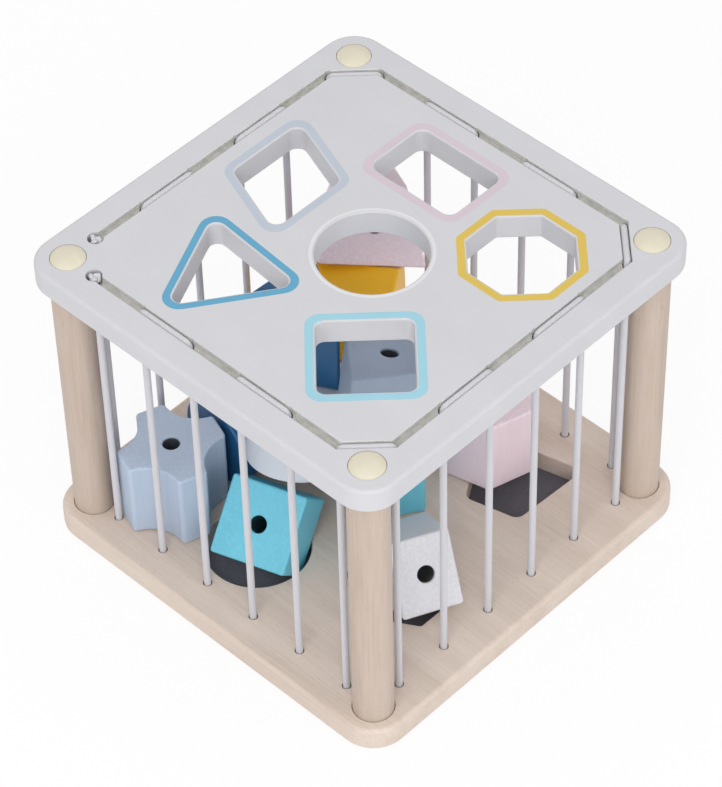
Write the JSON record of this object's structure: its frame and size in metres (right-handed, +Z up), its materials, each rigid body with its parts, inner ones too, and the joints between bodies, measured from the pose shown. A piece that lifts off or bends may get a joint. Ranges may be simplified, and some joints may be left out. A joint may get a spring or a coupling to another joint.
{
  "type": "shape sorting cube",
  "caption": "Square wooden play cage: plates on dowel posts, laced round with elastic cord, shaped openings on top and loose drilled blocks inside.",
  "frame": {"origin": "on the floor, under the middle of the base plate", "axes": "+Z up; X and Y along the edges of the plates; the knots of the cord are at the corner (-X, -Y)"},
  "size_m": [0.18, 0.18, 0.1469],
  "materials": {
    "beech": "bare pale wood, smooth sanded, matt",
    "dowel": "bare pale wood dowel, matt",
    "dark_panel": "thin dark grey painted board, matt",
    "paint_pale_grey": "wood painted pale grey, satin",
    "cream_cap": "smooth cream cap",
    "screw_steel": "zinc plated",
    "elastic": "white braided cover of the elastic cord",
    "paint_grey_blue": "wood painted grey-blue, satin",
    "paint_petrol": "wood painted petrol blue, satin",
    "paint_cyan": "wood painted light cyan, satin",
    "paint_white": "wood painted white, satin",
    "paint_pink": "wood painted pale pink, satin",
    "paint_yellow": "wood painted yellow, satin"
  },
  "bodies": {
    "cage": {"base_plate": "beech", "bottom_panel": "dark_panel", "top_plate": "paint_pale_grey", "post_left": "dowel", "post_front": "dowel", "post_right": "dowel", "post_back": "dowel", "cap_left": "cream_cap", "cap_front": "cream_cap", "cap_right": "cream_cap", "cap_back": "cream_cap", "screw_left": "screw_steel", "screw_front": "screw_steel", "screw_right": "screw_steel", "screw_back": "screw_steel", "elastic_cord": "elastic"},
    "star_blue": {"block_star_blue": "paint_grey_blue"},
    "round_petrol": {"block_round_petrol": "paint_petrol"},
    "square_cyan": {"block_square_cyan": "paint_cyan"},
    "oblong_white": {"block_oblong_white": "paint_white"},
    "oblong_cyan": {"block_oblong_cyan": "paint_cyan"},
    "hexagon_pink": {"block_hexagon_pink": "paint_pink"},
    "octagon_yellow_low": {"block_octagon_yellow_low": "paint_yellow"},
    "round_white": {"block_round_white": "paint_white"},
    "octagon_yellow_high": {"block_octagon_yellow_high": "paint_yellow"},
    "triangle_petrol": {"block_triangle_petrol": "paint_petrol"},
    "rhombus_blue": {"block_rhombus_blue": "paint_grey_blue"},
    "trapezoid_pink": {"block_trapezoid_pink": "paint_pink"}
  },
  "joints": [
    {"name": "star_blue_lift", "type": "slide", "parent": "cage", "child": "star_blue", "axis": [0, 0, 1], "range_m": [0, 0.085]},
    {"name": "round_petrol_slide", "type": "slide", "parent": "cage", "child": "round_petrol", "axis": [-0.9932, 0.1167, 0], "range_m": [0, 0.0065]},
    {"name": "square_cyan_lift", "type": "slide", "parent": "cage", "child": "square_cyan", "axis": [0, 0, 1], "range_m": [0, 0.004]},
    {"name": "oblong_white_lift", "type": "slide", "parent": "cage", "child": "oblong_white", "axis": [0, 0, 1], "range_m": [0, 0.025]},
    {"name": "oblong_cyan_lift", "type": "slide", "parent": "cage", "child": "oblong_cyan", "axis": [0, 0, 1], "range_m": [0, 0.007]},
    {"name": "hexagon_pink_lift", "type": "slide", "parent": "cage", "child": "hexagon_pink", "axis": [0, 0, 1], "range_m": [0, 0.085]},
    {"name": "octagon_yellow_low_slide", "type": "slide", "parent": "cage", "child": "octagon_yellow_low", "axis": [0, 1, 0], "range_m": [0, 0.022]},
    {"name": "round_white_lift", "type": "slide", "parent": "square_cyan", "child": "round_white", "axis": [0, 0, 1], "range_m": [0, 0.004]},
    {"name": "rhombus_blue_lift", "type": "slide", "parent": "round_white", "child": "rhombus_blue", "axis": [0, 0, 1], "range_m": [0, 0.008]},
    {"name": "triangle_petrol_lift", "type": "slide", "parent": "round_white", "child": "triangle_petrol", "axis": [0, 0, 1], "range_m": [0, 0.01]},
    {"name": "octagon_yellow_high_slide", "type": "slide", "parent": "cage", "child": "octagon_yellow_high", "axis": [0.7071, 0.7071, 0], "range_m": [0, 0.0025]},
    {"name": "trapezoid_pink_lift", "type": "slide", "parent": "cage", "child": "trapezoid_pink", "axis": [0, 0, 1], "range_m": [0, 0.015]}
  ]
}
